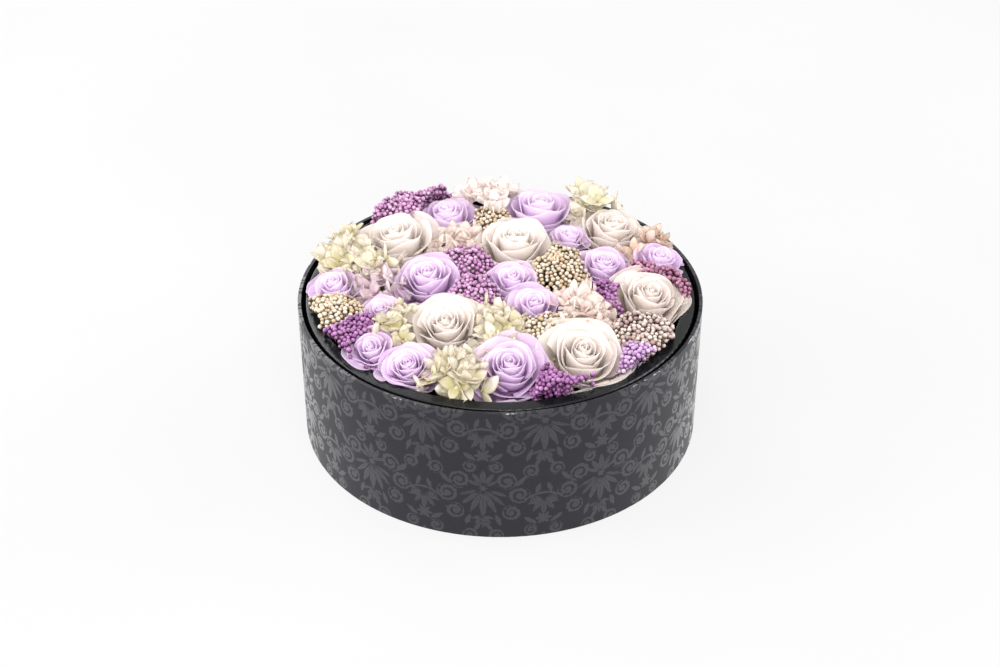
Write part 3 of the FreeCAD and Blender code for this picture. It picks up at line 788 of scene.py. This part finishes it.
def sepal_finish(name, base, edge, flush):
    """A papery dried sepal: pale, flushed near its foot, with veins running along it and a browner edge."""
    finish = Finish(name)
    side, along, _ = finish.axes(finish.place("UV"))
    tone = finish.node("ShaderNodeAttribute", {"attribute_name": "tone"}, output=2)
    off_middle = abs(side - 0.5) * 2
    veins = finish.noise(finish.stretch(finish.place("UV"), (16.0, 1.5, 1.0)), 1.0, detail=2.0)
    mottle = finish.noise(finish.place(), 240.0)
    flushed = tone * 0.7 - along + (mottle - 0.5) * 0.7
    body = finish.mix(finish.remap(flushed, -0.55, 0.25, 0, 1), tint(*base), tint(*flush))
    rim = finish.remap(off_middle + along * 0.25 + (mottle - 0.5) * 0.5, 0.85, 1.3, 0, 0.8)
    colour = finish.mix(rim, body, tint(*edge))
    colour = finish.mix(finish.remap(veins, 0.52, 0.7, 0, 0.4), colour, tint(*edge))
    finish.wear(Base_Color=colour, Roughness=0.65, Specular_IOR_Level=0.3)
    finish.bump(veins, 0.3, 0.0003)
    finish.let_light_through((0.97, 0.96, 0.94, 1), 0.3)
    return finish


green_sepals = sepal_finish("green_hydrangea", (248, 240, 226), (170, 146, 116), (214, 206, 156))
cream_sepals = sepal_finish("cream_pink_hydrangea", (250, 240, 232), (196, 160, 146), (232, 208, 200))
mauve_sepals = sepal_finish("mauve_hydrangea", (238, 222, 226), (164, 128, 138), (206, 174, 188))
beige_sepals = sepal_finish("beige_hydrangea", (242, 226, 212), (160, 124, 102), (206, 172, 152))
white_sepals = sepal_finish("white_green_hydrangea", (243, 236, 222), (186, 168, 140), (220, 214, 178))
blush_sepals = sepal_finish("blush_hydrangea", (252, 246, 242), (216, 188, 178), (240, 222, 216))
HYDRANGEA_FINISHES = {1: green_sepals, 2: cream_sepals, 3: blush_sepals, 4: white_sepals, 5: beige_sepals,
                      6: cream_sepals, 7: mauve_sepals, 8: green_sepals, 9: green_sepals, 10: green_sepals}
HYDRANGEA_SPRIGS = {1: [((0.016, 0.010), 0.7), ((0.014, -0.008), 0.7), ((0.002, 0.014), 0.6)],
                    4: [((-0.012, 0.003), 0.7)],
                    5: [((0.005, 0.009), 0.7)],
                    6: [((0.004, -0.014), 0.7)],
                    9: [((-0.006, 0.013), 0.55)],
                    10: [((0.010, 0.004), 0.8)]}
# How far the florets' feet lie below the top of the CAD head, and a floret's radius
USUAL_SINK = 0.007
HYDRANGEA_SINKS = {1: 0.006, 3: 0.009, 4: 0.005, 5: 0.006}
USUAL_FLORET = 0.0092
FLORET_SIZES = {1: 0.0104, 10: 0.0106}
for seed, finish in HYDRANGEA_FINISHES.items():
    sink = HYDRANGEA_SINKS.get(seed, USUAL_SINK)
    size = FLORET_SIZES.get(seed, USUAL_FLORET)
    make_hydrangea(f"hydrangea_{seed}", finish, seed, sink, size, HYDRANGEA_SPRIGS.get(seed, []))
for shape in floret_shapes:
    bpy.data.objects.remove(shape)

# Studio: a white sweep that glows a little, lit by a white surround and five softboxes. The camera looks down
# on the box from the front, from where the photograph was taken.

bpy.ops.object.select_all(action="DESELECT")
bpy.ops.mesh.primitive_plane_add(size=6, location=(0, 0, 0))
floor = bpy.context.object
floor.name = "floor"
sweep = Finish("white_sweep")
sweep_tone = sweep.noise(sweep.place(), 2.0)
sweep_colour = sweep.ramp(sweep_tone, (0.3, (0.098, 0.098, 0.098, 1)), (0.7, (0.108, 0.108, 0.108, 1)))
sweep_glow = sweep.ramp(sweep_tone, (0.3, (0.98, 0.98, 0.98, 1)), (0.7, (1, 1, 1, 1)))
sweep.wear(Base_Color=sweep_colour, Roughness=0.9, Specular_IOR_Level=0.0)
sweep.wear(Emission_Color=sweep_glow, Emission_Strength=0.79)
floor.data.materials.append(sweep.material)

world = bpy.data.worlds.new("studio")
bpy.context.scene.world = world
world.use_nodes = True
surround = world.node_tree.nodes["Background"]
surround.inputs["Color"].default_value = (1, 1, 1, 1)
surround.inputs["Strength"].default_value = 0.73

LAMP_AIM = Vector((0, 0, 0.05))


def softbox(name, place, size, power):
    """A square studio lamp aimed at the box."""
    lamp = bpy.data.lights.new(name, "AREA")
    lamp.energy = power
    lamp.size = size
    made = bpy.data.objects.new(name, lamp)
    bpy.context.collection.objects.link(made)
    made.location = place
    made.rotation_euler = (LAMP_AIM - made.location).to_track_quat("-Z", "Y").to_euler()


softbox("top_lamp", (-0.2, -0.3, 1.7), 1.6, 6)
softbox("front_lamp", (0.1, -1.5, 1.1), 1.4, 28)
softbox("back_lamp", (-0.8, 1.5, 1.1), 1.0, 13)
softbox("left_lamp", (-1.5, 0.1, 0.7), 1.3, 25)
softbox("right_lamp", (1.5, 0.3, 0.7), 1.2, 17)

camera_data = bpy.data.cameras.new("camera")
camera_data.sensor_width = 36
camera_data.lens = 62.70
camera = bpy.data.objects.new("camera", camera_data)
bpy.context.collection.objects.link(camera)
camera.location = (-0.0001, -0.8653, 0.6584)
camera.rotation_euler = (math.radians(55.2235), 0, 0)
bpy.context.scene.camera = camera
bpy.context.scene.view_settings.view_transform = "Standard"
